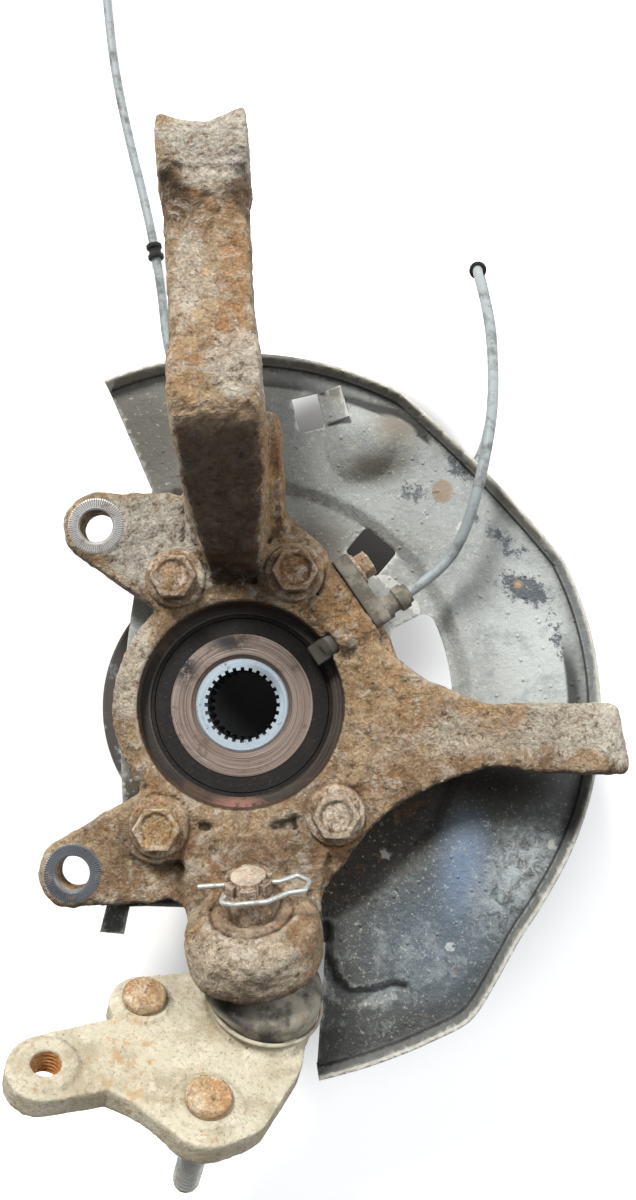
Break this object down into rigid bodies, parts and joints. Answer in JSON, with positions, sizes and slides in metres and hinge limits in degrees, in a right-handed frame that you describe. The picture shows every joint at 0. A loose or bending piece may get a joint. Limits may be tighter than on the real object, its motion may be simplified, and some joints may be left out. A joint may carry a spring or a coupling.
{
  "type": "steering knuckle",
  "caption": "Cast front steering knuckle with a flange-mounted wheel hub and bearing, brake dust shield, speed sensor with lead and a bolted lower ball joint.",
  "frame": {"origin": "on the hub axis, in the hub face that the brake disc and wheel bolt to", "axes": "+Z along the hub axis towards the inboard side, +Y towards the strut, +X along the steering arm. The assembly rests on the tips of its wheel studs."},
  "size_m": [0.2516, 0.629, 0.177],
  "materials": {
    "cast_iron_rust": "rough, heavily rusted cast skin",
    "bearing_steel": "ground steel with a grey film",
    "hub_steel": "forged and turned steel",
    "race_steel": "bronze-grey ground steel",
    "seal_rubber": "matt black with dust",
    "encoder": "magnetic rubber on a steel ring",
    "ball_steel": "polished bearing steel",
    "cage_plastic": "natural nylon",
    "rusty_steel": "rusted steel bolt",
    "stud_steel": "zinc plated steel",
    "nut_steel": "rusted steel",
    "clip_wire": "grey zinc wire",
    "joint_steel": "forged steel under tan dust",
    "seat_plastic": "white acetal",
    "boot_rubber": "matt black rubber with pale dust",
    "sensor_plastic": "brown-grey moulded plastic",
    "lead_jacket": "light grey-blue sheath",
    "connector_plastic": "dark moulded plastic",
    "shield_steel": "pressed steel, grey with dust and dark bare patches"
  },
  "bodies": {
    "upright": {"knuckle": "cast_iron_rust", "bearing_outer_ring": "bearing_steel", "inboard_seal": "seal_rubber", "outboard_seal": "seal_rubber", "hub_bolts": "rusty_steel", "dust_shield": "shield_steel", "abs_sensor": "sensor_plastic", "abs_sensor_bolt": "rusty_steel", "abs_cable": "lead_jacket", "cable_grommets": "seal_rubber", "abs_connector": "connector_plastic", "ball_stud": "stud_steel", "castle_nut": "nut_steel", "nut_clip": "clip_wire"},
    "hub": {"hub": "hub_steel", "wheel_studs": "stud_steel", "inner_race": "race_steel", "encoder_ring": "encoder"},
    "rolling_set": {"inboard_balls": "ball_steel", "outboard_balls": "ball_steel", "inboard_cage": "cage_plastic", "outboard_cage": "cage_plastic"},
    "boot_top": {"boot_ring_upper": "clip_wire"},
    "seat": {"ball_seat": "seat_plastic", "ball_joint_boot": "boot_rubber"},
    "joint_housing": {"ball_joint_housing": "joint_steel", "ball_joint_cap": "joint_steel", "joint_studs": "rusty_steel", "boot_ring_lower": "clip_wire"}
  },
  "joints": [
    {"name": "hub_spin", "type": "hinge", "parent": "upright", "child": "hub", "pos_m": [0, 0, 0.03], "axis": [0, 0, 1], "continuous": true},
    {"name": "cage_spin", "type": "hinge", "parent": "upright", "child": "rolling_set", "pos_m": [0, 0, 0.03], "axis": [0, 0, 1], "continuous": true},
    {"name": "ball_swivel", "type": "hinge", "parent": "upright", "child": "boot_top", "pos_m": [0.0088, -0.1259, 0.056], "axis": [-0.0701, 0.9047, 0.4203], "range_deg": [-30, 30]},
    {"name": "ball_tilt", "type": "hinge", "parent": "boot_top", "child": "seat", "pos_m": [0.0088, -0.1259, 0.056], "axis": [0.3262, 0.419, -0.8474], "range_deg": [-36, 4], "deforming": ["ball_joint_boot"]},
    {"name": "ball_rock", "type": "hinge", "parent": "seat", "child": "joint_housing", "pos_m": [0.0088, -0.1259, 0.056], "axis": [-0.9193, 0.3493, -0.1812], "range_deg": [-10, 10]}
  ],
  "couplings": [
    {"joint": "cage_spin", "follows": "hub_spin", "ratio": 0.4244}
  ]
}
